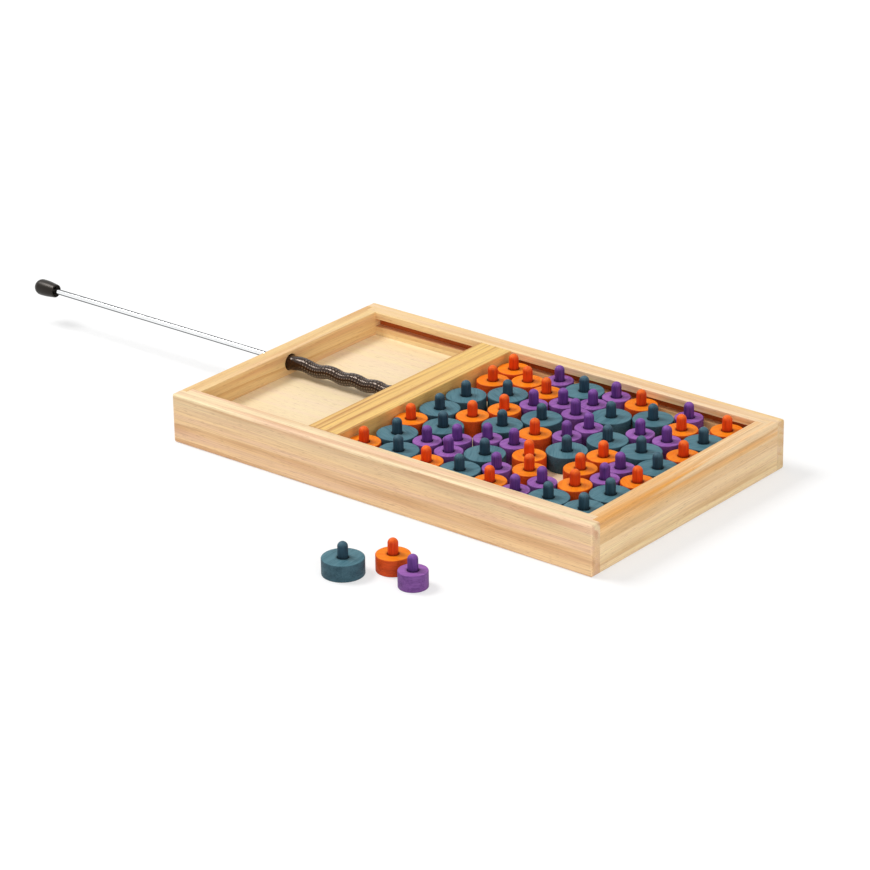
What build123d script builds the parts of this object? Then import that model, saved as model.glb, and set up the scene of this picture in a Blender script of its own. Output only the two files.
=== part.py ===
from build123d import *
import math
import os

# A tray game. A shallow pine tray has a small compartment on the left and a large one on the
# right. A thin steel stick with a wavy plastic grip is kept through the left end rail, and the
# large compartment is packed with wooden pieces, each a flat disc with a dowel peg.
# Sizes are in millimetres. X runs along the tray from its left end, Y from its front, Z up
# from the table. The parts are moved at the end so that the origin is under the middle of all.

# Tray frame
tray_length = 300.0
tray_width = 180.0
tray_height = 30.0
long_rail_thickness = 12.4
end_rail_thickness = 11.5
outer_rounding = 1.4
inner_rounding = 0.5

# Rabbeted corners: each end of a long rail is cut back inside, and a lip of the end rail fills it
corner_end_grain = 7.2
corner_lap_length = 5.0

# Grooves along the inner faces of the long rails, and the tongues that are glued into them
groove_bottom_height = 20.9
groove_height = 5.0
groove_depth = 4.5
glue_gap = 0.05

# Plywood floor, let into grooves in all four rails
floor_top_height = 15.6
floor_thickness = 3.0
floor_bearing = 4.0
floor_gap = 0.1

# Divider between the compartments, flush with the rim. The large compartment is as long as the
# playing pieces need, and the small one takes what is left of the tray.
large_compartment_length = 173.3
divider_thickness = 22.5

# Stick: steel rod, wavy grip and rubber cap, kept in a bore through the left end rail
stick_height = 22.9
rod_diameter = 3.4
rod_fit = 0.02
rod_depth_in_grip = 34.0
grip_diameter = 8.1
grip_collar_diameter = 9.3
grip_collar_length = 1.2
grip_end_gap = 0.3
grip_end_rounding = 1.5
grip_bend_angle = 15.0
grip_bend_count = 7
grip_bend_shrink = 0.925
bore_clearance = 0.3
plug_clearance = 0.15
plug_recess = 0.2
plug_length = 9.8
plug_rounding = 0.6
cap_mouth_reach = 181.7
cap_length = 16.7
cap_diameter = 10.0
cap_mouth_diameter = 7.0
cap_flare_length = 10.5
cap_flare_rise = 0.35
cap_bore_depth = 12.0
cap_recess_diameter = 5.6
cap_recess_depth = 1.2

# Playing pieces: three colours, each with its own disc diameter
disc_diameter = {"teal": 23.6, "orange": 19.2, "purple": 16.6}
disc_height = 9.7
disc_rounding = 0.5
peg_diameter = 5.8
peg_rise = 9.1
peg_seat_depth = 6.0
peg_fit = 0.02
piece_gap = 0.25
wall_gap = 0.3

# Where the pieces stand in the large compartment, to the nearest millimetre, from its left
# front corner. They were read in a room of this size, and follow it if the room changes.
read_room_length = 173.3
read_room_width = 155.2
places = {
    "teal": [
        (64, 142), (119, 133), (161, 122), (98, 121), (32, 111), (14, 96), (69, 95),
        (117, 93), (141, 92), (161, 79), (57, 75), (14, 72), (107, 68), (31, 53),
        (74, 37), (161, 36), (17, 30), (161, 12), (137, 12), (76, 12), (33, 12),
    ],
    "orange": [
        (102, 145), (162, 144), (11, 144), (29, 134), (141, 130), (48, 127), (12, 123),
        (163, 101), (44, 93), (79, 76), (35, 75), (128, 74), (163, 57), (128, 53),
        (10, 51), (95, 50), (107, 35), (139, 34), (99, 10), (55, 10), (10, 10),
    ],
    "purple": [
        (134, 147), (84, 146), (43, 146), (80, 129), (65, 120), (144, 112), (80, 112),
        (126, 111), (53, 109), (98, 101), (95, 84), (145, 67), (78, 58), (62, 55),
        (147, 50), (49, 44), (37, 32), (56, 28), (122, 26), (91, 26), (117, 9),
    ],
}

# The three pieces that stand on the table, measured from the tray's left front corner
table_place = {"teal": (191.7, -74.7), "orange": (210.1, -55.3), "purple": (231.3, -64.5)}

# The discs cover this share of the large compartment's floor when it is full, and a smaller
# compartment holds fewer pieces
packed_share = 0.74

# Of each colour, the last pieces in the tray share a node in pairs
paired_pieces = 10

# Values worked out from those above
inner_length = tray_length - 2 * end_rail_thickness
inner_width = tray_width - 2 * long_rail_thickness
room_length = large_compartment_length
room_width = inner_width
room_left = tray_length - end_rail_thickness - room_length
divider_left = room_left - divider_thickness
rod_radius = rod_diameter / 2
grip_radius = grip_diameter / 2
cap_radius = cap_diameter / 2
bend_sine = math.sin(math.radians(grip_bend_angle))
bend_cosine = math.cos(math.radians(grip_bend_angle))
lead_angle = math.degrees(math.acos((1 + bend_cosine) / 2))


def block(x, y, z):
    """A block between two values along each axis."""
    centre = Pos(sum(x) / 2, sum(y) / 2, sum(z) / 2)
    return centre * Box(x[1] - x[0], y[1] - y[0], z[1] - z[0])


def rounding_strip(length, radius):
    """A strip along X that leaves a square edge at the origin rounded when it is cut away."""
    strip = block((-length / 2, length / 2), (-radius, 0), (-radius, 0))
    core = Pos(0, -radius, -radius) * Rot(0, 90, 0) * Cylinder(radius, length + radius)
    return strip - core


def floor_groove():
    """The slot that the floor's edges sit in, as one slab a little larger than the floor."""
    reach = floor_bearing + floor_gap
    return block(
        (end_rail_thickness - reach, tray_length - end_rail_thickness + reach),
        (long_rail_thickness - reach, tray_width - long_rail_thickness + reach),
        (floor_top_height - floor_thickness - floor_gap, floor_top_height + floor_gap),
    )


def corner_laps():
    """The two corners at each end that the end rails' lips fill, as one slab across each end."""
    y = (corner_end_grain, tray_width - corner_end_grain)
    right = block((tray_length - corner_lap_length, tray_length + 1), y, (-1, tray_height + 1))
    return right + block((-1, corner_lap_length), y, (-1, tray_height + 1))


def front_rail():
    """A full-length rail with its corners rounded outside and a groove along its inner face."""
    rail = block((0, tray_length), (0, long_rail_thickness), (0, tray_height))
    outer_edges = rail.faces().sort_by(Axis.Y)[0].edges() + rail.edges().filter_by(Axis.Y)
    rail = fillet(outer_edges, outer_rounding)
    inner_edge = Pos(tray_length / 2, long_rail_thickness, tray_height)
    rail -= inner_edge * rounding_strip(inner_length, inner_rounding)
    rail -= block(
        (-1, tray_length + 1),
        (long_rail_thickness - groove_depth, long_rail_thickness),
        (groove_bottom_height, groove_bottom_height + groove_height),
    )
    return rail - floor_groove() - corner_laps()


def back_rail():
    """The same rail turned end for end."""
    middle = Pos(tray_length / 2, tray_width / 2, 0)
    return middle * Rot(0, 0, 180) * middle.inverse() * front_rail()


def tongues(x):
    """A pair of tongues, front and back, that fill the rails' grooves between two X values."""
    reach = groove_depth - glue_gap
    z = (groove_bottom_height + glue_gap, groove_bottom_height + groove_height - glue_gap)
    front = block(x, (long_rail_thickness - reach, long_rail_thickness + 1), z)
    back_face = tray_width - long_rail_thickness
    back = block(x, (back_face - 1, back_face + reach), z)
    return front + back


def right_end_rail():
    """A short rail between the long ones, with a lip and a tongue at each end."""
    x = (tray_length - end_rail_thickness, tray_length)
    rail = block(x, (long_rail_thickness, tray_width - long_rail_thickness), (0, tray_height))
    rail += block(
        (tray_length - corner_lap_length, tray_length),
        (corner_end_grain, tray_width - corner_end_grain),
        (0, tray_height),
    )
    outer_edges = rail.edges().filter_by(Axis.Y).sort_by(Axis.X)[-2:]
    rail = fillet(outer_edges, outer_rounding)
    inner_top = rail.edges().filter_by(Axis.Y).group_by(Axis.X)[0].sort_by(Axis.Z)[-1]
    rail = fillet(inner_top, inner_rounding)
    tongue_end = tray_length - corner_lap_length
    return rail + tongues((x[0], tongue_end)) - floor_groove()


def bend_radius(number):
    """Radius of one bend of the grip: 0 is the first crest, and each later one is smaller."""
    return first_bend_radius * grip_bend_shrink**number


def grip_bends_per_radius():
    """Length of the whole wave along X, as a multiple of its first bend's radius."""
    lead = 2 * math.sin(math.radians(lead_angle)) + bend_sine
    full_bends = sum(grip_bend_shrink**n for n in range(1, grip_bend_count + 1))
    last = grip_bend_shrink ** (grip_bend_count + 1) * bend_sine
    return lead + 2 * bend_sine * full_bends + last


plug_end = end_rail_thickness - plug_recess
plug_start = plug_end - plug_length
wave_start = plug_end + grip_collar_length
grip_end = divider_left - grip_end_gap
wave_length = grip_end - grip_end_rounding - wave_start
first_bend_radius = wave_length / grip_bends_per_radius()
wave_rise = first_bend_radius * (1 - bend_cosine)
bore_radius = grip_radius + wave_rise + bore_clearance
plug_radius = bore_radius - plug_clearance


def stick_axis(x):
    """A place on the stick's axis, turned so that local Z points along +X."""
    return Pos(x, tray_width / 2, stick_height) * Rot(0, 90, 0)


def rod_between(start, end, radius):
    """A round bar along the stick's axis between two X values."""
    return stick_axis((start + end) / 2) * Cylinder(radius, end - start)


def left_end_rail():
    """The right rail turned round, with the bore that the stick passes through."""
    middle = Pos(tray_length / 2, tray_width / 2, 0)
    rail = middle * Rot(0, 0, 180) * middle.inverse() * right_end_rail()
    return rail - rod_between(-1, end_rail_thickness + 1, bore_radius)


def floor_panel():
    """A plain sheet that reaches into the grooves of all four rails."""
    return block(
        (end_rail_thickness - floor_bearing, tray_length - end_rail_thickness + floor_bearing),
        (long_rail_thickness - floor_bearing, tray_width - long_rail_thickness + floor_bearing),
        (floor_top_height - floor_thickness, floor_top_height),
    )


def divider():
    """A bar on the floor, flush with the rim, with a tongue in each long rail's groove."""
    x = (divider_left, room_left)
    y = (long_rail_thickness, tray_width - long_rail_thickness)
    bar = block(x, y, (floor_top_height, tray_height))
    top_edges = bar.edges().filter_by(Axis.Y).group_by(Axis.Z)[-1]
    return fillet(top_edges, inner_rounding) + tongues(x)


def wavy_path():
    """The grip's centre line: arcs that bend up and down in turn, each a little shorter."""
    start = Vector(wave_start, tray_width / 2, stick_height)
    plane = Plane(origin=start, x_dir=(1, 0, 0), z_dir=(0, -1, 0))
    with BuildLine(plane) as path:
        arc = JernArc((0, 0), (1, 0), bend_radius(0), lead_angle)
        arc = JernArc(arc @ 1, arc % 1, bend_radius(0), -lead_angle - grip_bend_angle)
        for number in range(1, grip_bend_count + 1):
            turn = 2 * grip_bend_angle * (1 if number % 2 else -1)
            arc = JernArc(arc @ 1, arc % 1, bend_radius(number), turn)
        side = -1 if grip_bend_count % 2 else 1
        arc = JernArc(arc @ 1, arc % 1, bend_radius(grip_bend_count + 1), side * grip_bend_angle)
        Line(arc @ 1, arc @ 1 + (grip_end_rounding, 0))
    return path.wire()


def stick_grip():
    """Moulded grip: a plug that fits the bore, a short tapered collar and a wavy handle."""
    plug = rod_between(plug_start, plug_end, plug_radius)
    plug = fillet(plug.edges().filter_by(GeomType.CIRCLE), plug_rounding)
    collar_place = stick_axis(plug_end + grip_collar_length / 2)
    collar = collar_place * Cone(grip_collar_diameter / 2, grip_radius, grip_collar_length)
    path = wavy_path()
    section = Plane(origin=path @ 0, z_dir=path % 0) * Circle(grip_radius)
    handle = sweep(section, path=path)
    end_edge = handle.edges().filter_by(GeomType.CIRCLE).sort_by(Axis.X)[-1]
    handle = fillet(end_edge, grip_end_rounding * 0.9)
    grip = plug + collar + handle
    rod_room = rod_between(plug_start - 1, plug_end + rod_depth_in_grip + rod_fit, rod_radius + rod_fit)
    return grip - rod_room


def stick_rod():
    """Plain round steel rod from inside the cap to inside the grip."""
    start = -cap_mouth_reach - cap_bore_depth + rod_fit
    return rod_between(start, plug_end + rod_depth_in_grip, rod_radius)


def stick_end_cap():
    """Moulded rubber cap: flares from its mouth to full width, then ends in a round dome."""
    mouth = (0, cap_mouth_diameter / 2)
    shoulder = (cap_flare_length, cap_radius)
    half_way = ((mouth[0] + shoulder[0]) / 2, (mouth[1] + shoulder[1]) / 2 + cap_flare_rise)
    dome_start = (cap_length - cap_radius, cap_radius)
    with BuildSketch() as half:
        with BuildLine():
            ThreePointArc(mouth, half_way, shoulder)
            Line(shoulder, dome_start)
            RadiusArc(dome_start, (cap_length, 0), cap_radius)
            Line((cap_length, 0), (0, 0))
            Line((0, 0), mouth)
        make_face()
    body = revolve(half.sketch, Axis.X)
    body = Pos(-cap_mouth_reach, tray_width / 2, stick_height) * Rot(0, 0, 180) * body
    rod_room = rod_between(-cap_mouth_reach - cap_bore_depth, 0, rod_radius + rod_fit)
    recess = rod_between(-cap_mouth_reach - cap_recess_depth, 0, cap_recess_diameter / 2)
    return body - rod_room - recess


def piece(colour, place, base_height):
    """One playing piece: a disc with a dowel peg glued upright in its middle."""
    disc_top = base_height + disc_height
    disc_radius = disc_diameter[colour] / 2
    peg_radius = peg_diameter / 2
    disc = Pos(place[0], place[1], base_height + disc_height / 2) * Cylinder(disc_radius, disc_height)
    disc = fillet(disc.edges().filter_by(GeomType.CIRCLE), disc_rounding)
    seat = disc_top - peg_seat_depth
    socket_height = peg_seat_depth + peg_fit
    socket = Pos(place[0], place[1], disc_top - socket_height / 2)
    disc -= socket * Cylinder(peg_radius + peg_fit, socket_height)
    dome_centre = disc_top + peg_rise - peg_radius
    shaft = Pos(place[0], place[1], (seat + dome_centre) / 2) * Cylinder(peg_radius, dome_centre - seat)
    dome = Pos(place[0], place[1], dome_centre) * Sphere(peg_radius)
    return [disc, shaft + dome]


def stand_apart(centres, radii):
    """Push touching pieces apart, pair by pair, and keep them off the walls, until all are clear."""
    centres = [list(centre) for centre in centres]
    for _ in range(3000):
        worst = 0
        for i, first in enumerate(centres):
            for j in range(i):
                second = centres[j]
                across = first[0] - second[0]
                along = first[1] - second[1]
                apart = math.hypot(across, along)
                lack = radii[i] + radii[j] + piece_gap - apart
                if lack > 0:
                    share = lack / apart / 2
                    first[0] += across * share
                    first[1] += along * share
                    second[0] -= across * share
                    second[1] -= along * share
                    worst = max(worst, lack)
        for centre, radius in zip(centres, radii):
            margin = radius + wall_gap
            centre[0] = min(max(centre[0], margin), room_length - margin)
            centre[1] = min(max(centre[1], margin), room_width - margin)
        if worst < piece_gap / 20:
            break
    return centres


def places_used():
    """Of each colour, as many of the places as the floor has room for, evenly through the list."""
    floor_of_three = sum(math.pi * (across / 2) ** 2 for across in disc_diameter.values())
    fitting = int(packed_share * room_length * room_width / floor_of_three)
    used = {}
    for colour, spots in places.items():
        count = min(fitting, len(spots))
        used[colour] = [spots[number * len(spots) // count] for number in range(count)]
    return used


def places_in_tray():
    """Each piece's colour and its centre, from the tray's left front corner."""
    used = places_used()
    colours = [colour for colour in used for _ in used[colour]]
    wide = room_length / read_room_length
    deep = room_width / read_room_width
    centres = [(x * wide, y * deep) for colour in used for x, y in used[colour]]
    radii = [disc_diameter[colour] / 2 for colour in colours]
    settled = stand_apart(centres, radii)
    shifted = [(room_left + x, long_rail_thickness + y) for x, y in settled]
    return {
        colour: [place for place, own in zip(shifted, colours) if own == colour]
        for colour in places
    }


# All parts share one origin, at table height under the middle of the whole set.
stick_reach = cap_mouth_reach + cap_length
front_reach = max(disc_diameter[colour] / 2 - table_place[colour][1] for colour in table_place)
to_origin = Pos(-(tray_length - stick_reach) / 2, -(tray_width - front_reach) / 2, 0)

os.makedirs("parts", exist_ok=True)


def save(name, solids):
    """Write one node: a single solid, or a group of separate ones."""
    group = solids[0] if len(solids) == 1 else Compound(children=solids)
    export_step(to_origin * group, f"parts/{name}.step")


save("front_rail", [front_rail()])
save("back_rail", [back_rail()])
save("left_end_rail", [left_end_rail()])
save("right_end_rail", [right_end_rail()])
save("floor_panel", [floor_panel()])
save("divider", [divider()])
save("stick_rod", [stick_rod()])
save("stick_grip", [stick_grip()])
save("stick_end_cap", [stick_end_cap()])

for colour, tray_places in places_in_tray().items():
    save(f"{colour}_piece_on_table", piece(colour, table_place[colour], 0))
    single_count = len(tray_places) - paired_pieces
    for number, place in enumerate(tray_places[:single_count], start=1):
        save(f"{colour}_piece_{number:02d}", piece(colour, place, floor_top_height))
    for number in range(1, paired_pieces // 2 + 1):
        first = single_count + 2 * (number - 1)
        pair = [
            solid
            for place in tray_places[first : first + 2]
            for solid in piece(colour, place, floor_top_height)
        ]
        save(f"{colour}_pair_{number}", pair)
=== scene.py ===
import math

import bpy
import numpy as np
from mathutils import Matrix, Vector


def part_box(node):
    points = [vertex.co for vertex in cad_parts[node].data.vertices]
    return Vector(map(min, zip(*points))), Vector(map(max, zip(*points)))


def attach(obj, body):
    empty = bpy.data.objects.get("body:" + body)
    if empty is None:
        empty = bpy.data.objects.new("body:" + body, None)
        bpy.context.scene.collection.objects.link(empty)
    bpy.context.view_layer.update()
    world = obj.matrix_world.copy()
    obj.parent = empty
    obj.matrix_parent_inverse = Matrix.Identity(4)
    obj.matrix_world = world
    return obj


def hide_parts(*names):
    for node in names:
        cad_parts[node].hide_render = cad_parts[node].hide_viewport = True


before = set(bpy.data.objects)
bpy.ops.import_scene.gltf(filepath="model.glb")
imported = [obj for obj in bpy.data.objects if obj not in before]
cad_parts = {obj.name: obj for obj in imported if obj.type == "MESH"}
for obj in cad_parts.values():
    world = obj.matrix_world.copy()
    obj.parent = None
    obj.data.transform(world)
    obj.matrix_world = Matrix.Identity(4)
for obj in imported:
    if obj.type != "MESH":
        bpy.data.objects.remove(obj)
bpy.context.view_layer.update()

# Tray rails: planed pine, glued up and grooved, with a thin clear lacquer. The two long rails
# run the full length and the end rails stand between them. Each board is cut from another
# place in the log, so the same rings show as other lines on each.
mm = 0.001


def paint(code):
    """A colour written as sRGB hex, turned to linear light."""
    channels = np.array([int(code[i : i + 2], 16) for i in (1, 3, 5)]) / 255
    linear = np.where(channels < 0.04045, channels / 12.92, ((channels + 0.055) / 1.055) ** 2.4)
    return (*linear, 1.0)


def add(material, kind, inputs=None, output=0, **settings):
    """Adds a node with its settings, fills or links its inputs, and returns one of its outputs."""
    tree = material.node_tree
    node = tree.nodes.new(kind)
    for name, value in settings.items():
        setattr(node, name, value)
    for name, value in (inputs or {}).items():
        if isinstance(value, bpy.types.NodeSocket):
            tree.links.new(value, node.inputs[name])
        else:
            node.inputs[name].default_value = value
    return node.outputs[output]


def finish_with(name, **values):
    """A new material whose own shader has these constant values. Names use _ for a space."""
    material = bpy.data.materials.new(name)
    material.use_nodes = True
    shader = material.node_tree.nodes["Principled BSDF"]
    for key, value in values.items():
        shader.inputs[key.replace("_", " ")].default_value = value
    return material, shader


def wear(node_name, material):
    """Gives a node of the frame one material in all its slots."""
    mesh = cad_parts[node_name].data
    mesh.materials.clear()
    mesh.materials.append(material)


def drawn_out(material, place, mark, detail, output="Fac"):
    """Noise drawn out along the grain. A mark is its length and width in millimetres."""
    length, width = mark[0] * mm, mark[1] * mm
    along = add(
        material, "ShaderNodeMapping", {"Vector": place, "Scale": (length, width, width)},
        vector_type="TEXTURE",
    )
    return add(
        material, "ShaderNodeTexNoise", {"Vector": along, "Scale": 1, "Detail": detail}, output,
    )


# The marks in the wood, as length by width in millimetres, and settings for an eased ramp.
ring_bend = (120, 13)
ring_fading = (90, 7)
pink_streak = (150, 6)
wood_fibre = (40, 0.5)
resin_mark = (5, 0.3)
eased = {"interpolation_type": "SMOOTHSTEP"}


def in_the_log(material, board, along, pith, lean):
    """A point's place in the log, in metres. X runs along the pith, which lies beside the board's
    middle, so many millimetres across and up, and leans a little from the board."""
    low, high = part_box(board)
    centre = (np.array(low) + np.array(high)) / 2
    turned = math.pi / 2 if along == "y" else 0
    across, up = pith[0] * mm, pith[1] * mm
    side = np.array([-across, 0, up]) if along == "y" else np.array([0, across, up])
    place = add(material, "ShaderNodeTexCoord", output="Object")
    return add(
        material, "ShaderNodeMapping",
        {"Vector": place, "Location": centre + side, "Rotation": (0, lean[0], turned + lean[1])},
        vector_type="TEXTURE",
    )


def pith_distance(material, log):
    """How far a point is from the pith, in metres, with the rings bent a little by soft noise."""
    ring_push = 6 * mm
    wander = drawn_out(material, log, ring_bend, 2.5, "Color")
    centred = add(
        material, "ShaderNodeVectorMath", {0: wander, 1: (0.5, 0.5, 0.5)}, operation="SUBTRACT",
    )
    push = add(
        material, "ShaderNodeVectorMath", {0: centred, 1: (0, ring_push, ring_push)},
        operation="MULTIPLY",
    )
    warped = add(material, "ShaderNodeVectorMath", {0: log, 1: push}, operation="ADD")
    flat = add(material, "ShaderNodeVectorMath", {0: warped, 1: (0, 1, 1)}, operation="MULTIPLY")
    return add(material, "ShaderNodeVectorMath", {0: flat}, "Value", operation="LENGTH")


def late_wood(material, log, radius, ring_gap, strength):
    """How much dark late wood a point shows. The distance from the pith in ring gaps, made
    uneven, gives each ring its pale early and its dark late part, which fades here and there."""
    ring_unevenness = 4.0
    ring_change = 0.31
    rings = add(material, "ShaderNodeMath", {0: radius, 1: ring_gap * mm}, operation="DIVIDE")
    uneven = add(
        material, "ShaderNodeTexNoise", {"W": rings, "Scale": ring_change, "Detail": 1.5}, "Fac",
        noise_dimensions="1D",
    )
    spread = add(
        material, "ShaderNodeMath", {0: uneven, 1: ring_unevenness, 2: rings}, operation="MULTIPLY_ADD",
    )
    within = add(material, "ShaderNodeMath", {0: spread}, operation="FRACT")
    darkening = add(
        material, "ShaderNodeMapRange", {"Value": within, "From Min": 0.25, "From Max": 0.9}, **eased,
    )
    lightening = add(
        material, "ShaderNodeMapRange",
        {"Value": within, "From Min": 0.9, "From Max": 1.0, "To Min": 1.0, "To Max": 0.0}, **eased,
    )
    latewood = add(material, "ShaderNodeMath", {0: darkening, 1: lightening}, operation="MULTIPLY")
    fading = add(
        material, "ShaderNodeMapRange",
        {
            "Value": drawn_out(material, log, ring_fading, 1), "From Min": 0.3, "From Max": 0.66,
            "To Min": 0.15 * strength, "To Max": strength,
        },
        **eased,
    )
    return add(material, "ShaderNodeMath", {0: latewood, 1: fading}, operation="MULTIPLY")


def grain_tint(material, log, along, fibres, fibre):
    """A colour to multiply the wood's own by: darker and warmer along the fibres, in short resin
    marks, and on the board's ends, which take more lacquer."""
    fibre_dark, fibre_pale = 0.13, 0.06
    resin_darkness = 0.8
    end_darkness = 0.88
    shade_warmth = 1.3
    speck = add(
        material, "ShaderNodeMapRange",
        {
            "Value": fibres, "From Min": 0.28, "From Max": 0.72,
            "To Min": 1 - fibre_dark * fibre, "To Max": 1 + fibre_pale * fibre,
        },
        **eased,
    )
    resin = add(
        material, "ShaderNodeMapRange",
        {
            "Value": drawn_out(material, log, resin_mark, 0), "From Min": 0.66, "From Max": 0.8,
            "To Min": 1.0, "To Max": resin_darkness,
        },
        **eased,
    )
    normal = add(material, "ShaderNodeTexCoord", output="Normal")
    facing = add(material, "ShaderNodeSeparateXYZ", {0: normal}, along.upper())
    squared = add(material, "ShaderNodeMath", {0: facing, 1: facing}, operation="MULTIPLY")
    ends = add(
        material, "ShaderNodeMapRange",
        {"Value": squared, "From Min": 0.5, "From Max": 0.9, "To Min": 1.0, "To Max": end_darkness},
        **eased,
    )
    marked = add(material, "ShaderNodeMath", {0: speck, 1: resin}, operation="MULTIPLY")
    shade = add(material, "ShaderNodeMath", {0: marked, 1: ends}, operation="MULTIPLY")
    warmer = add(material, "ShaderNodeMath", {0: shade, 1: shade_warmth}, operation="POWER")
    return add(material, "ShaderNodeCombineColor", {0: shade, 1: warmer, 2: warmer})


def sawn_wood(
    name, board, along, pith, lean, sap, heart, pink, late, heart_edge, ring_gap, strength, fibre,
):
    """Wood sawn from a log. Its colour goes from heart to sap with the distance from the pith,
    with pinkish streaks along it. The rings' late wood and the fibres darken it, and the fibres
    also make its gloss uneven and stand up a little."""
    fibre_relief = 0.1 * mm
    material, shader = finish_with(name, Roughness=0.5, IOR=1.5, Specular_IOR_Level=0.3)
    log = in_the_log(material, board, along, pith, lean)
    radius = pith_distance(material, log)
    heart_amount = add(
        material, "ShaderNodeMapRange",
        {
            "Value": radius, "From Min": heart_edge[0] * mm, "From Max": heart_edge[1] * mm,
            "To Min": 1.0, "To Max": 0.0,
        },
        **eased,
    )
    grown = add(
        material, "ShaderNodeMix", {0: heart_amount, 6: paint(sap), 7: paint(heart)}, 2, data_type="RGBA",
    )
    pink_amount = add(
        material, "ShaderNodeMapRange",
        {"Value": drawn_out(material, log, pink_streak, 2), "From Min": 0.42, "From Max": 0.66},
        **eased,
    )
    streaked = add(
        material, "ShaderNodeMix", {0: pink_amount, 6: grown, 7: paint(pink)}, 2, data_type="RGBA",
    )
    late_amount = late_wood(material, log, radius, ring_gap, strength)
    ringed = add(
        material, "ShaderNodeMix", {0: late_amount, 6: streaked, 7: paint(late)}, 2, data_type="RGBA",
    )
    fibres = drawn_out(material, log, wood_fibre, 3)
    tint = grain_tint(material, log, along, fibres, fibre)
    colour = add(
        material, "ShaderNodeMix", {0: 1.0, 6: ringed, 7: tint}, 2, data_type="RGBA",
        blend_type="MULTIPLY",
    )
    material.node_tree.links.new(colour, shader.inputs["Base Color"])
    gloss = add(
        material, "ShaderNodeMapRange",
        {"Value": fibres, "From Min": 0.3, "From Max": 0.7, "To Min": 0.42, "To Max": 0.6}, **eased,
    )
    material.node_tree.links.new(gloss, shader.inputs["Roughness"])
    grain = add(
        material, "ShaderNodeBump",
        {"Height": fibres, "Strength": 0.3 * fibre, "Distance": fibre_relief},
    )
    material.node_tree.links.new(grain, shader.inputs["Normal"])
    return material


def paint_groove_shade(material, depth, height):
    """Multiplies a rail's colour by a red brown between these Y and Z values, in metres: painted
    shade inside the groove, where its recess lies in shadow. The mask is the product of four ramps."""
    groove_shade_colour = paint("#CB7A46")
    soft_edge = 0.15 * mm
    shader = material.node_tree.nodes["Principled BSDF"]
    place = add(material, "ShaderNodeTexCoord", output="Object")
    y = add(material, "ShaderNodeSeparateXYZ", {0: place}, "Y")
    z = add(material, "ShaderNodeSeparateXYZ", {0: place}, "Z")
    limits = [(y, depth[0], 1), (y, depth[1], -1), (z, height[0], 1), (z, height[1], -1)]
    mask = 1.0
    for value, limit, way in limits:
        start, stop = limit - soft_edge * way, limit + soft_edge * way
        side = add(
            material, "ShaderNodeMapRange", {"Value": value, "From Min": start, "From Max": stop}, **eased,
        )
        mask = add(material, "ShaderNodeMath", {0: mask, 1: side}, operation="MULTIPLY")
    wood_colour = shader.inputs["Base Color"].links[0].from_socket
    groove_shaded = add(
        material, "ShaderNodeMix", {0: mask, 6: wood_colour, 7: groove_shade_colour}, 2, data_type="RGBA",
        blend_type="MULTIPLY",
    )
    material.node_tree.links.new(groove_shaded, shader.inputs["Base Color"])


# Pine: pale cream sapwood with pinkish streaks and soft tan late wood. The end rails are cut
# nearer the heart and are yellower, and the right one is orange along its inner top edge.
pine_boards = {
    "front_rail": dict(
        along="x", pith=(-58, -70), lean=(0.004, 0.004), sap="#FBE5B8", heart="#F9D3A0",
        pink="#F6CEA8", late="#CE925E", heart_edge=(88, 99), ring_gap=8.5, strength=0.6, fibre=1.0,
    ),
    "back_rail": dict(
        along="x", pith=(44, 80), lean=(-0.004, 0.006), sap="#FCE2AE", heart="#F6D092",
        pink="#F9D9B0", late="#DDA560", heart_edge=(70, 96), ring_gap=7.0, strength=0.5, fibre=0.8,
    ),
    "left_end_rail": dict(
        along="y", pith=(40, -70), lean=(0.008, 0.01), sap="#F3D094", heart="#E9B268",
        pink="#F2C894", late="#CE8E4A", heart_edge=(66, 86), ring_gap=6.5, strength=0.5, fibre=0.8,
    ),
    "right_end_rail": dict(
        along="y", pith=(-22, 40), lean=(-0.006, 0.012), sap="#FDE3B2", heart="#EBA650",
        pink="#FADAAC", late="#D29E60", heart_edge=(30, 43), ring_gap=7.5, strength=0.55, fibre=0.9,
    ),
}
groove_depth = 4.5 * mm
groove_lip = 0.3 * mm
groove_height = (20.9 * mm, 25.9 * mm)
for board, cut in pine_boards.items():
    pine = sawn_wood(f"lacquered pine {board}", board, **cut)
    wear(board, pine)
    (_, front, _), (_, back, _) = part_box(board)
    # Painted shade: the inside of each long rail's groove is darkened to a red brown.
    if board == "front_rail":
        paint_groove_shade(pine, (back - groove_depth - groove_lip, back - groove_lip), groove_height)
    if board == "back_rail":
        paint_groove_shade(pine, (front + groove_lip, front + groove_depth + groove_lip), groove_height)

# Floor: thin birch plywood, sanded, let into grooves in the rails. Its face veneer is peeled,
# so it is nearly plain, with a faint broad figure and very fine pores.
birch = sawn_wood(
    "sanded birch plywood", "floor_panel", along="x", pith=(8, -260), lean=(0.0, 0.02),
    sap="#FBE7BD", heart="#FAE2B6", pink="#FAE2BE", late="#F0D09C", heart_edge=(240, 280),
    ring_gap=9.0, strength=0.3, fibre=0.35,
)
wear("floor_panel", birch)

# Divider: a square pine bar with close straight grain, tongued into the long rails. A few lines
# of late wood run along its top. Its right side is darker heartwood, and that darker colour is
# partly painted shade, for the shade the pieces beside it throw.
straight_pine = sawn_wood(
    "straight grained pine", "divider", along="y", pith=(-78, -14), lean=(0.0, 0.003),
    sap="#F3CA78", heart="#E8A04E", pink="#F0C478", late="#B67430", heart_edge=(62, 72),
    ring_gap=4.6, strength=0.9, fibre=0.8,
)
wear("divider", straight_pine)

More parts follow.
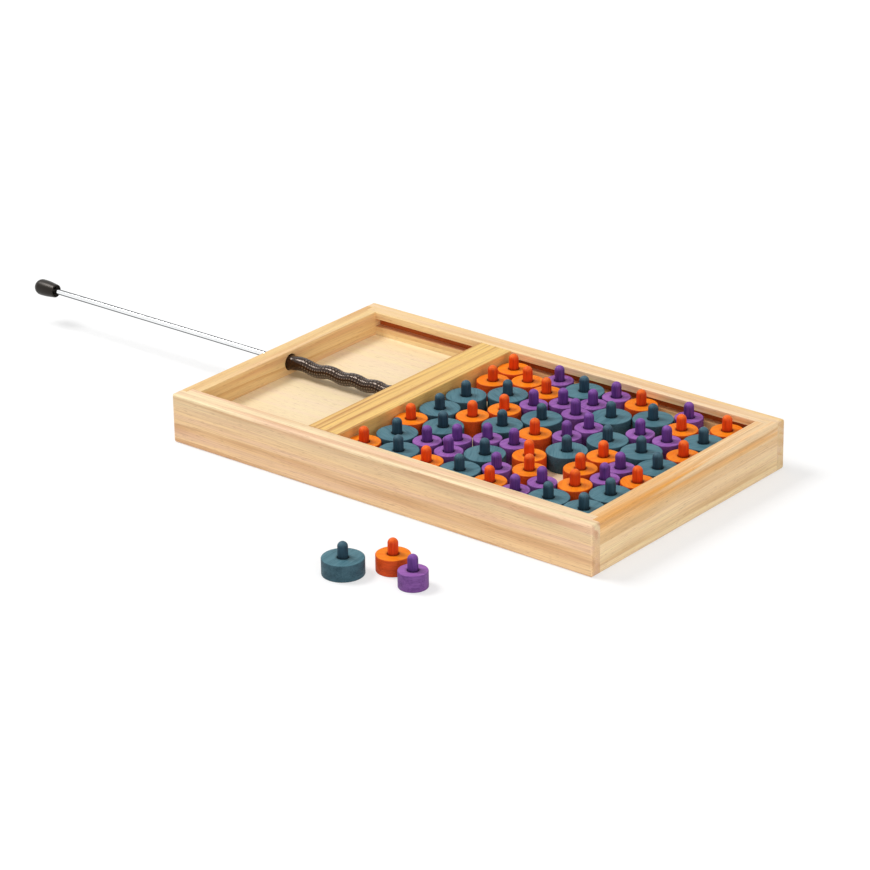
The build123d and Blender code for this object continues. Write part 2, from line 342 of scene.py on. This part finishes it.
# Stick: a bright plated steel rod, pushed into the grip and into the rubber cap. It is drawn
# wire, so faint lines run along it under the plating. The narrow dark band just inside each edge
# stands for the dark room that the photographed rod mirrors.
chrome, chrome_shader = finish_with(
    "bright chromium plate", Metallic=1.0, Specular_Tint=paint("#B4B6B8"),
)
rod_place = add(chrome, "ShaderNodeTexCoord", output="Object")
drawing_mark = (30, 0.15)
plating_cloud = (25, 3)
drawn_lines = drawn_out(chrome, rod_place, drawing_mark, 2)
cloudy = drawn_out(chrome, rod_place, plating_cloud, 1)
plating = add(
    chrome, "ShaderNodeMix", {0: cloudy, 6: paint("#F8F9F9"), 7: paint("#E6E8EA")}, 2,
    data_type="RGBA",
)
# Painted reflection: the view angle turns the base colour dark grey in a narrow band just inside the rod's
# outline, for the dark room a polished rod mirrors.
edge_on = add(chrome, "ShaderNodeLayerWeight", {"Blend": 0.5}, "Facing")
rising = add(
    chrome, "ShaderNodeMapRange", {"Value": edge_on, "From Min": 0.34, "From Max": 0.54}, **eased,
)
falling = add(
    chrome, "ShaderNodeMapRange",
    {"Value": edge_on, "From Min": 0.66, "From Max": 0.76, "To Min": 1.0, "To Max": 0.0}, **eased,
)
painted_reflection_band = add(chrome, "ShaderNodeMath", {0: rising, 1: falling}, operation="MULTIPLY")
painted_reflection_edges = add(
    chrome, "ShaderNodeMix", {0: painted_reflection_band, 6: plating, 7: paint("#1A1C1E")}, 2, data_type="RGBA",
)
chrome.node_tree.links.new(painted_reflection_edges, chrome_shader.inputs["Base Color"])
rubbed = add(
    chrome, "ShaderNodeMapRange",
    {"Value": drawn_lines, "From Min": 0.3, "From Max": 0.7, "To Min": 0.06, "To Max": 0.16}, **eased,
)
chrome.node_tree.links.new(rubbed, chrome_shader.inputs["Roughness"])
wear("stick_rod", chrome)

# Grip: moulded glossy black plastic. A plain plug sits in the end rail's bore. From it a smooth
# collar tapers to the handle, which waves up and down so that the fingers find it. Small
# raised dots on the handle break up its shine, and their tops carry a painted highlight in a grey brown.
grip_radius = 4.05 * mm
collar_radius = 4.65 * mm
collar_fade = 5 * mm
rod_hole_radius = 1.72 * mm
rod_depth = 34 * mm
plug_length = 9.8 * mm
plug_radius = 4.97 * mm
plug_edge = 0.6 * mm
collar_length = 1.2 * mm
bend_angle = math.radians(15)
bend_shrink = 0.925
bend_count = 7
end_rounding = 1.35 * mm
end_flat = 1.3 * mm
dot_height = 0.09 * mm
dots_round = 14
dot_pitch = 1.9 * mm
dots_start = 7 * mm
dots_rise = 4 * mm
dots_stop = 3 * mm
dots_fall = 2 * mm
pole_radius = 0.03 * mm
path_steps = 430
around = 126

grip_low, grip_high = (np.array(corner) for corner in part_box("stick_grip"))
grip_axis = np.array([0, (grip_low[1] + grip_high[1]) / 2, (grip_low[2] + grip_high[2]) / 2])
plug_start = grip_low[0]
plug_end = plug_start + plug_length
wave_start = plug_end + collar_length


def arc(centre, radius, start, end, count):
    """Points on a circle of that radius round centre, from one angle to another in degrees."""
    angle = np.radians(np.linspace(start, end, count))
    return np.stack([centre[0] + radius * np.cos(angle), centre[1] + radius * np.sin(angle)], 1)


def wave_path(length, steps):
    """The handle's centre line, as distance along X and height. Its slope changes evenly along
    each arc: up to the lead angle, down through the first crest, then to and fro with each
    bend a little shorter. The places are the running sums of the slope's cosine and sine."""
    lead = math.acos((1 + math.cos(bend_angle)) / 2)
    turns = [lead, lead + bend_angle] + [2 * bend_angle] * bend_count + [bend_angle]
    sizes = [1, 1] + [bend_shrink**n for n in range(1, bend_count + 2)]
    signs = [1, -1] + [1 if n % 2 else -1 for n in range(1, bend_count + 2)]
    ends = np.cumsum([0] + [turn * size for turn, size in zip(turns, sizes)])
    slopes = np.cumsum([0] + [turn * sign for turn, sign in zip(turns, signs)])
    t = np.linspace(0, ends[-1], steps)
    slope = np.interp(t, ends, slopes)
    step = np.diff(t, prepend=0)
    x, z = np.cumsum(np.cos(slope) * step), np.cumsum(np.sin(slope) * step)
    grow = length / x[-1]
    return x * grow, z * grow, slope


def grip_surface():
    """Rings of points round the centre line: each is centre + r (cos a across + sin a upright),
    where upright leans with the line's slope. r follows the section: the blind hole for the
    rod, the plug, the collar, which dies away into the handle as a falling exponential of the
    distance, then the handle and its rounded end. A dot stands where the sum of two cosines, of
    the distance along and of n times the angle, is above zero. Also gives how far each point is
    raised, from 0 to 1."""
    handle_end = grip_high[0] - end_rounding
    x, z, slope = wave_path(handle_end - wave_start, path_steps)
    flare = (collar_radius - grip_radius) * np.exp((plug_end - wave_start - x) / collar_fade)
    hole_end = plug_end + rod_depth
    hole = np.array([
        [hole_end, pole_radius], [hole_end, rod_hole_radius], [plug_start, rod_hole_radius],
    ])
    left = arc((plug_start + plug_edge, plug_radius - plug_edge), plug_edge, 180, 90, 5)
    right = arc((plug_end - plug_edge, plug_radius - plug_edge), plug_edge, 90, 28, 5)
    collar = plug_end + np.array([0.1, 0.5, 0.9]) * mm
    taper = grip_radius + (collar_radius - grip_radius) * np.exp((plug_end - collar) / collar_fade)
    straight = np.concatenate([hole, left, right, np.stack([collar, taper], 1)])
    cap = arc((handle_end, grip_radius - end_rounding), end_rounding, 80, 0, 6)
    tip = np.array([[grip_high[0], end_flat], [grip_high[0], pole_radius]])
    end = np.concatenate([cap, tip])
    rows = [
        np.stack([straight[:, 0], np.zeros(len(straight)), np.zeros(len(straight)), straight[:, 1]]),
        np.stack([wave_start + x, z, slope, grip_radius + flare]),
        np.stack([end[:, 0], np.full(len(end), z[-1]), np.zeros(len(end)), end[:, 1]]),
    ]
    x, z, slope, r = np.concatenate(rows, 1)[:, :, None]
    angle = np.linspace(0, 2 * np.pi, around, endpoint=False)
    along = x - wave_start
    dots = np.cos(2 * np.pi * along / dot_pitch) / 2 + np.cos(dots_round * angle) / 2
    start = np.clip((along - dots_start) / dots_rise, 0, 1)
    stop = np.clip((grip_high[0] - dots_stop - x) / dots_fall, 0, 1)
    raised = start * stop * np.clip(dots, 0, 1)
    r = r + dot_height * raised
    across, upright = r * np.cos(angle), r * np.sin(angle)
    points = np.stack([
        x - upright * np.sin(slope), grip_axis[1] + across, grip_axis[2] + z + upright * np.cos(slope),
    ], -1)
    return points, raised * np.ones_like(r)


def skin(points):
    """Faces over rings of points: a square between each point and the next on its ring and on
    the ring after, and one face to close each end. Rings run clockwise seen from the first."""
    count, size = points.shape[:2]
    ring = np.arange(size)
    rows = np.arange(count - 1)[:, None] * size
    next_one = (ring + 1) % size
    squares = np.stack([rows + ring, rows + next_one, rows + size + next_one, rows + size + ring], -1)
    last = (count - 1) * size
    return squares.reshape(-1, 4).tolist() + [list(ring[::-1]), list(last + ring)]


def new_piece(name, points, faces, material, body, slot, *nodes):
    """Makes a smooth piece from points and faces, and puts it in place of nodes of the frame."""
    mesh = bpy.data.meshes.new(name)
    mesh.from_pydata(points, [], faces)
    mesh.shade_smooth()
    mesh.materials.append(material)
    piece = bpy.data.objects.new(name, mesh)
    bpy.context.collection.objects.link(piece)
    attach(piece, body)
    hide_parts(*nodes)
    return mesh


def moulded_black(name, colour, brown, sheen, shine, rough, speck_size):
    """Moulded black stock: nearly black with a trace of brown, and a fine uneven gloss whose
    sheen is a little warm."""
    tint = paint(sheen)
    material, shader = finish_with(name, IOR=1.5, Specular_IOR_Level=shine, Specular_Tint=tint)
    place = add(material, "ShaderNodeTexCoord", output="Object")
    cloud_size = 6 * mm
    speck_relief = 0.02 * mm
    cloud = add(
        material, "ShaderNodeTexNoise", {"Vector": place, "Scale": 1 / cloud_size, "Detail": 3}, "Fac",
    )
    specks = add(
        material, "ShaderNodeTexNoise", {"Vector": place, "Scale": 1 / speck_size, "Detail": 2}, "Fac",
    )
    mixed = add(
        material, "ShaderNodeMix", {0: cloud, 6: paint(colour), 7: paint(brown)}, 2, data_type="RGBA",
    )
    material.node_tree.links.new(mixed, shader.inputs["Base Color"])
    smooth, dull = rough - 0.04, rough + 0.06
    gloss = add(
        material, "ShaderNodeMapRange",
        {"Value": specks, "From Min": 0.3, "From Max": 0.7, "To Min": smooth, "To Max": dull},
    )
    material.node_tree.links.new(gloss, shader.inputs["Roughness"])
    relief = add(
        material, "ShaderNodeBump", {"Height": specks, "Strength": 0.12, "Distance": speck_relief},
    )
    material.node_tree.links.new(relief, shader.inputs["Normal"])
    return material


black_plastic = moulded_black(
    "moulded black ABS", "#120703", "#28130A", "#FFE8D6", 0.5, 0.12, 0.5 * mm,
)
# Painted highlight: the tops of the raised dots turn a grey brown, as light specks.
raised_share = add(black_plastic, "ShaderNodeAttribute", output="Fac", attribute_name="raised")
dot_highlight = add(
    black_plastic, "ShaderNodeMapRange", {"Value": raised_share, "From Min": 0.35, "From Max": 0.8},
    **eased,
)
plastic_shader = black_plastic.node_tree.nodes["Principled BSDF"]
plastic_colour = plastic_shader.inputs["Base Color"].links[0].from_socket
dot_highlighted = add(
    black_plastic, "ShaderNodeMix", {0: dot_highlight, 6: plastic_colour, 7: paint("#7C6C5E")}, 2,
    data_type="RGBA",
)
black_plastic.node_tree.links.new(dot_highlighted, plastic_shader.inputs["Base Color"])
grip_rings, grip_raised = grip_surface()
grip_mesh = new_piece(
    "grip_moulding", grip_rings.reshape(-1, 3), skin(grip_rings), black_plastic,
    "stick", "black_plastic", "stick_grip",
)
raised_layer = grip_mesh.attributes.new("raised", "FLOAT", "POINT")
raised_layer.data.foreach_set("value", grip_raised.ravel())

# End cap: a moulded rubber ferrule with a round dome and a wide open mouth, pushed on the rod.
# It swells gently from the mouth to the dome.
cap_radius = 5 * mm
cap_mouth_radius = 4.1 * mm
cap_rim = 0.35 * mm
cap_recess_radius = 3.3 * mm
cap_recess_depth = 2.2 * mm
cap_hole_depth = 12 * mm
cap_swelling = 10.5 * mm
cap_around = 64


def cap_surface():
    """Rings of points round the rod's axis: each is axis + r (cos a, sin a), for a section that
    goes from the blind hole out to the mouth, round its rim, and along the outside to the dome.
    The radius of the outside grows with a quarter wave: mouth + rise sin(pi t / 2)."""
    low, high = (np.array(corner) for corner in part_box("stick_end_cap"))
    mouth = high[0]
    dome = low[0] + cap_radius
    floor = mouth - cap_recess_depth
    hole_end = mouth - cap_hole_depth
    hole = np.array([
        [hole_end, pole_radius], [hole_end, rod_hole_radius], [floor, rod_hole_radius],
        [floor, cap_recess_radius],
    ])
    rim = arc((mouth - cap_rim, cap_mouth_radius - cap_rim), cap_rim, 0, 90, 5)
    lip = np.array([[mouth - cap_rim / 2, cap_recess_radius], [mouth, cap_recess_radius + cap_rim / 2]])
    t = np.linspace(0.05, 1, 16)
    swell = cap_mouth_radius + (cap_radius - cap_mouth_radius) * np.sin(np.pi * t / 2)
    outside = np.stack([mouth - cap_rim - t * (cap_swelling - cap_rim), swell], 1)
    end = arc((dome, 0), cap_radius, 90, 179.5, 20)
    section = np.concatenate([hole, lip, rim, outside, end])
    angle = -np.linspace(0, 2 * np.pi, cap_around, endpoint=False)
    x, r = section[:, :1], section[:, 1:]
    across, upright = r * np.cos(angle), r * np.sin(angle)
    return np.stack([x + 0 * across, grip_axis[1] + across, grip_axis[2] + upright], -1)


black_rubber = moulded_black(
    "moulded black rubber", "#080705", "#16110C", "#FFF4EA", 0.32, 0.34, 0.8 * mm,
)
cap_rings = cap_surface()
new_piece(
    "cap_moulding", cap_rings.reshape(-1, 3), skin(cap_rings), black_rubber,
    "stick", "black_rubber", "stick_end_cap",
)

# Playing pieces: a disc sawn from a board and a round-nosed dowel peg glued in its middle.
# Both are dyed, and the peg takes the dye darker than the disc.
disc_height = 9.7 * mm
disc_rounding = 0.55 * mm
peg_radius = 2.9 * mm
peg_rise = 9.1 * mm
socket_gap = 0.42 * mm
socket_depth = 1.8 * mm
# Painted shade round the peg's foot: how far it reaches and how much it darkens.
foot_shade_reach = 1.9 * mm
foot_shade_strength = 0.5
lip_rounding = 0.3 * mm
sanded_edge = 0.3 * mm
nose_start = 2.2 * mm
nose_fade = 1.6 * mm
middle_radius = 0.04 * mm
peg_points = 16
peg_apart = 0.05
sides = 40


def piece_outline(radius):
    """Half the piece's section, as distance from the axis and height: flat underneath, rounded
    edges, a fine gap round the peg, then the peg's shaft and its half-round nose."""
    e = disc_rounding
    top = disc_height
    bottom_edge = arc((radius - e, e), e, -90, 0, 5)
    top_edge = arc((radius - e, top - e), e, 0, 90, 5)
    lip_centre = (peg_radius + socket_gap + lip_rounding, top - lip_rounding)
    gap_lip = arc(lip_centre, lip_rounding, 90, 180, 4)
    # Two outline points on the disc's top carry the painted shade round the peg's foot.
    foot_shade_ring = np.array([[peg_radius + foot_shade_reach, top], [peg_radius + foot_shade_reach * 0.6, top]])
    gap_floor = top - socket_depth
    gap_foot = np.array([[peg_radius + socket_gap, gap_floor], [peg_radius, gap_floor]])
    nose_centre = top + peg_rise - peg_radius
    shaft = np.stack([np.full(5, peg_radius), np.linspace(top, nose_centre, 5)], 1)
    nose = arc((0, nose_centre), peg_radius, 10, 85, 9)
    tip = np.array([[middle_radius, top + peg_rise]])
    start = np.array([[middle_radius, 0]])
    middle = np.array([[radius * 0.5, 0]])
    disc = [start, middle, bottom_edge, top_edge, foot_shade_ring, gap_lip, gap_foot]
    return np.concatenate(disc + [shaft, nose, tip])


def turned_piece(centre, base, radius, bearing, offset, tone):
    """The outline carried round the axis: x = r cos a, y = r sin a, z = h for every point of it
    and every angle a. Also gives each point's place in its own wood, in metres: along the grain
    first, which lies flat in the disc and upright in the peg. Last come the point's marks: on
    the peg or not, its tone, and whether it is on the disc's top, which is sanded and painted
    lighter as if lit, or on the nose, which carries a painted highlight. The tone also holds
    painted shade round the peg's foot: it falls there, evenly with the distance from the foot."""
    outline = piece_outline(radius)
    angle = np.linspace(0, 2 * np.pi, sides, endpoint=False)
    r, a = np.meshgrid(outline[:, 0], angle, indexing="ij")
    h = np.repeat(outline[:, 1:], sides, 1)
    local = np.stack([r * np.cos(a), r * np.sin(a), h], -1).reshape(-1, 3)
    on_peg = (np.arange(len(outline)) >= len(outline) - peg_points).repeat(sides)
    above = local[:, 2] - disc_height
    # Painted light: the disc's top is coloured lighter than its side, partly as a painted lit top over a
    # side in painted shade, and the peg's nose gets a painted highlight.
    on_sanded_lit_top = np.clip(above / sanded_edge + 1, 0, 1) * ~on_peg
    on_nose_highlight = np.clip((above - peg_rise + nose_start) / nose_fade, 0, 1) * on_peg
    from_peg = np.hypot(local[:, 0], local[:, 1]) - peg_radius
    away = np.where(on_peg, above, from_peg)
    # Painted shade: the tone falls towards the peg's foot, on the peg and on the disc's top.
    foot_shade_amount = np.clip(1 - away / foot_shade_reach, 0, 1) * (above > -socket_depth - sanded_edge)
    c, s = math.cos(bearing), math.sin(bearing)
    flat = np.stack(
        [local[:, 0] * c + local[:, 1] * s, local[:, 1] * c - local[:, 0] * s, local[:, 2]], 1
    )
    upright = local[:, [2, 0, 1]]
    wood = np.where(on_peg[:, None], upright + peg_apart, flat) + offset
    points = local + np.array([*centre, base])
    marks = np.stack([on_peg, tone * (1 - foot_shade_strength * foot_shade_amount), on_sanded_lit_top + on_nose_highlight], 1)
    return points, skin(points.reshape(len(outline), sides, 3)), wood, marks


pore = (9, 0.5)
dye_patch = (14, 3)


def dyed_wood(name, top, top_dark, side, side_dark, peg, peg_dark, tip):
    """Dyed hardwood. The dye darkens along the pores, which are noise drawn out along the grain,
    and in broader patches. It goes deeper in the peg than in the disc. The disc's side is coloured
    darker than its sanded top, partly for deeper dye on the sawn side and partly as painted shade
    on the side and painted light on the top. The peg's nose is coloured lighter than its shaft, a
    painted highlight. The wood attribute gives the place, and dye says which part; its tone also
    holds the painted shade round the peg's foot."""
    pore_strength = 0.55
    pore_relief = 0.15 * mm
    material, shader = finish_with(name, IOR=1.5, Specular_IOR_Level=0.2)
    place = add(material, "ShaderNodeAttribute", output="Vector", attribute_name="wood")
    dye = add(material, "ShaderNodeAttribute", output="Vector", attribute_name="dye")
    on_peg, tone, sanded = [
        add(material, "ShaderNodeSeparateXYZ", {0: dye}, axis) for axis in range(3)
    ]
    pores = drawn_out(material, place, pore, 3)
    patches = drawn_out(material, place, dye_patch, 2)
    depth = add(
        material, "ShaderNodeMapRange", {"Value": pores, "From Min": 0.4, "From Max": 0.7},
    )
    cloud = add(
        material, "ShaderNodeMapRange",
        {"Value": patches, "From Min": 0.3, "From Max": 0.7, "To Min": -0.25, "To Max": 0.35},
    )
    amount = add(
        material, "ShaderNodeMath", {0: depth, 1: pore_strength, 2: cloud},
        operation="MULTIPLY_ADD", use_clamp=True,
    )
    # The last pair mixes the nose from its painted highlight colour to the peg's own.
    mixes = [
        add(
            material, "ShaderNodeMix", {0: amount, 6: paint(pale), 7: paint(deep)}, 2, data_type="RGBA",
        )
        for pale, deep in ((side, side_dark), (top, top_dark), (peg, peg_dark), (tip, peg))
    ]
    disc = add(material, "ShaderNodeMix", {0: sanded, 6: mixes[0], 7: mixes[1]}, 2, data_type="RGBA")
    dowel = add(material, "ShaderNodeMix", {0: sanded, 6: mixes[2], 7: mixes[3]}, 2, data_type="RGBA")
    colour = add(material, "ShaderNodeMix", {0: on_peg, 6: disc, 7: dowel}, 2, data_type="RGBA")
    grey = add(material, "ShaderNodeCombineColor", {0: tone, 1: tone, 2: tone})
    toned = add(
        material, "ShaderNodeMix", {0: 1.0, 6: colour, 7: grey}, 2, data_type="RGBA",
        blend_type="MULTIPLY",
    )
    material.node_tree.links.new(toned, shader.inputs["Base Color"])
    gloss = add(material, "ShaderNodeMapRange", {"Value": pores, "To Min": 0.45, "To Max": 0.65})
    material.node_tree.links.new(gloss, shader.inputs["Roughness"])
    grain = add(
        material, "ShaderNodeBump", {"Height": pores, "Strength": 0.5, "Distance": pore_relief},
    )
    material.node_tree.links.new(grain, shader.inputs["Normal"])
    return material


# Each dye: top and side colours, each with a darker pore tone, then the peg's, then the nose's painted
# highlight. The sides are darker than the tops partly as painted shade.
dyes = {
    "teal": dyed_wood(
        "teal dyed hardwood", "#56808C", "#345E6C", "#3E5E6A", "#203A46", "#2A4858", "#102430",
        "#4A6A78",
    ),
    "orange": dyed_wood(
        "orange dyed hardwood", "#FF8E10", "#F06A04", "#E45418", "#B0340C", "#EA4A0A", "#B42C04",
        "#FA7426",
    ),
    "purple": dyed_wood(
        "purple dyed hardwood", "#A266B4", "#763E92", "#805096", "#502A68", "#683A88", "#341A54",
        "#8A56A8",
    ),
}


def peg_places(points):
    """Where the pegs of a node stand: the middle of each group of its highest points, which are
    sorted by being within a peg's diameter of the first one or not."""
    nose_depth = 0.5 * mm
    highest = points[points[:, 2] > points[:, 2].max() - nose_depth][:, :2]
    near = np.hypot(*(highest - highest[0]).T) < 2 * peg_radius
    groups = [highest[near]] + ([highest[~near]] if (~near).any() else [])
    return [(group.min(0) + group.max(0)) / 2 for group in groups]


# Each piece has its own turn, its own place in the board it was sawn from, within a metre, and
# its own tone of the dye.
chance = np.random.default_rng(66)
palest, darkest = 1.04, 0.93
for colour, dye in dyes.items():
    low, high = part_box(f"{colour}_piece_on_table")
    radius = (high[0] - low[0]) / 2
    for node_name in [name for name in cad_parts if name.startswith(f"{colour}_")]:
        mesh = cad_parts[node_name].data
        cad_points = np.empty(len(mesh.vertices) * 3)
        mesh.vertices.foreach_get("co", cad_points)
        cad_points = cad_points.reshape(-1, 3)
        parts = []
        for centre in peg_places(cad_points):
            parts.append(turned_piece(
                centre, cad_points[:, 2].min(), radius, chance.uniform(0, 2 * math.pi),
                chance.uniform(-1, 1, 3), chance.uniform(darkest, palest),
            ))
        counts = np.cumsum([0] + [len(part[0]) for part in parts])
        faces = [[i + start for i in face] for part, start in zip(parts, counts) for face in part[1]]
        points = np.concatenate([part[0] for part in parts])
        piece_mesh = new_piece(
            f"{node_name}_wood", points, faces, dye, node_name, f"{colour}_wood", node_name,
        )
        for name, column in (("wood", 2), ("dye", 3)):
            layer = piece_mesh.attributes.new(name, "FLOAT_VECTOR", "POINT")
            layer.data.foreach_set("vector", np.concatenate([part[column] for part in parts]).ravel())

# Table: a plain white surface that keeps the set's soft shadow, under an even white sky, with
# a large soft lamp high on the left, a small one overhead and a broad fill on the right. Seen
# directly it is darker and glows a little, more so far from the set, where it turns to white.
table_half = 6.0
white_lit = (0.82, 0.82, 0.82, 1)
white_seen = (0.45, 0.45, 0.45, 1)
shadow_reach = (0.27, 0.6)
glow = (0.54, 0.85)
table_mesh = bpy.data.meshes.new("table_top")
corners = table_half * np.array([[-1, -1, 0], [1, -1, 0], [1, 1, 0], [-1, 1, 0]])
table_mesh.from_pydata(corners, [], [(0, 1, 2, 3)])
white_table, table_shader = finish_with("white table", Roughness=0.9)


def seen_directly(material):
    """One for a ray from the camera, a mirror or glass, which sees the white background."""
    camera_ray = add(material, "ShaderNodeLightPath", output="Is Camera Ray")
    mirror_ray = add(material, "ShaderNodeLightPath", output="Is Glossy Ray")
    glass_ray = add(material, "ShaderNodeLightPath", output="Is Transmission Ray")
    either = add(material, "ShaderNodeMath", {0: camera_ray, 1: mirror_ray}, operation="ADD")
    return add(material, "ShaderNodeMath", {0: either, 1: glass_ray}, operation="ADD", use_clamp=True)


direct = seen_directly(white_table)
table_colour = add(
    white_table, "ShaderNodeMix", {0: direct, 6: white_lit, 7: white_seen}, 2, data_type="RGBA",
)
white_table.node_tree.links.new(table_colour, table_shader.inputs["Base Color"])
table_place = add(white_table, "ShaderNodeTexCoord", output="Object")
far = add(white_table, "ShaderNodeVectorMath", {0: table_place}, "Value", operation="LENGTH")
lifted = add(
    white_table, "ShaderNodeMapRange",
    {
        "Value": far, "From Min": shadow_reach[0], "From Max": shadow_reach[1],
        "To Min": glow[0], "To Max": glow[1],
    },
    **eased,
)
lift = add(white_table, "ShaderNodeMath", {0: direct, 1: lifted}, operation="MULTIPLY")
table_shader.inputs["Emission Color"].default_value = (1, 1, 1, 1)
white_table.node_tree.links.new(lift, table_shader.inputs["Emission Strength"])
table_mesh.materials.append(white_table)
table_top = bpy.data.objects.new("table_top", table_mesh)
bpy.context.collection.objects.link(table_top)

# Sky: even white all round. It lights the set less brightly than it looks.
sky_lit = 0.36
sky = bpy.data.worlds.new("even white sky")
sky.use_nodes = True
bpy.context.scene.world = sky
sky_light = sky.node_tree.nodes["Background"]
sky_light.inputs["Color"].default_value = (1, 1, 1, 1)
shown = add(sky, "ShaderNodeMapRange", {"Value": seen_directly(sky), "To Min": sky_lit, "To Max": 1.0})
sky.node_tree.links.new(shown, sky_light.inputs["Strength"])


def softbox(name, size, energy, place):
    """A square soft lamp that faces the middle of the set."""
    light = bpy.data.lights.new(name, "AREA")
    light.size = size
    light.energy = energy
    lamp = bpy.data.objects.new(name, light)
    lamp.location = place
    lamp.rotation_euler = (-Vector(place)).to_track_quat("-Z", "Y").to_euler()
    bpy.context.collection.objects.link(lamp)


softbox("key softbox", 0.88, 36.5, (-1.28, -0.43, 2.0))
softbox("top softbox", 0.5, 2.5, (0.15, 0.1, 1.5))
softbox("right fill", 1.2, 13.0, (1.65, -0.9, 0.6))

# Camera: a long lens, from the front right, 23 degrees above the table. Its angles and steps
# are those at which the tray's corners fall where they do in the photo.
azimuth, elevation, roll = (math.radians(v) for v in (39.487, 23.374, -0.977))
lens_mm = 149.09
distance = 2038.8 * mm
side_step, rise = 13.5 * mm, -15.9 * mm
tray_middle = np.array([99.2, 28.25, 0]) * mm
back = np.array([
    math.sin(azimuth) * math.cos(elevation), -math.cos(azimuth) * math.cos(elevation), math.sin(elevation),
])
right = np.cross(-back, (0, 0, 1))
right /= np.linalg.norm(right)
up = np.cross(right, -back)
right, up = (
    right * math.cos(roll) + up * math.sin(roll), up * math.cos(roll) - right * math.sin(roll),
)
eye = tray_middle - right * side_step - up * rise + back * distance
camera_data = bpy.data.cameras.new("camera")
camera_data.lens = lens_mm
camera_data.clip_start = 0.05
camera = bpy.data.objects.new("camera", camera_data)
matrix = np.eye(4)
matrix[:3, 0], matrix[:3, 1], matrix[:3, 2], matrix[:3, 3] = right, up, back, eye
camera.matrix_world = matrix.T
bpy.context.collection.objects.link(camera)
bpy.context.scene.camera = camera
bpy.context.scene.view_settings.view_transform = "Standard"
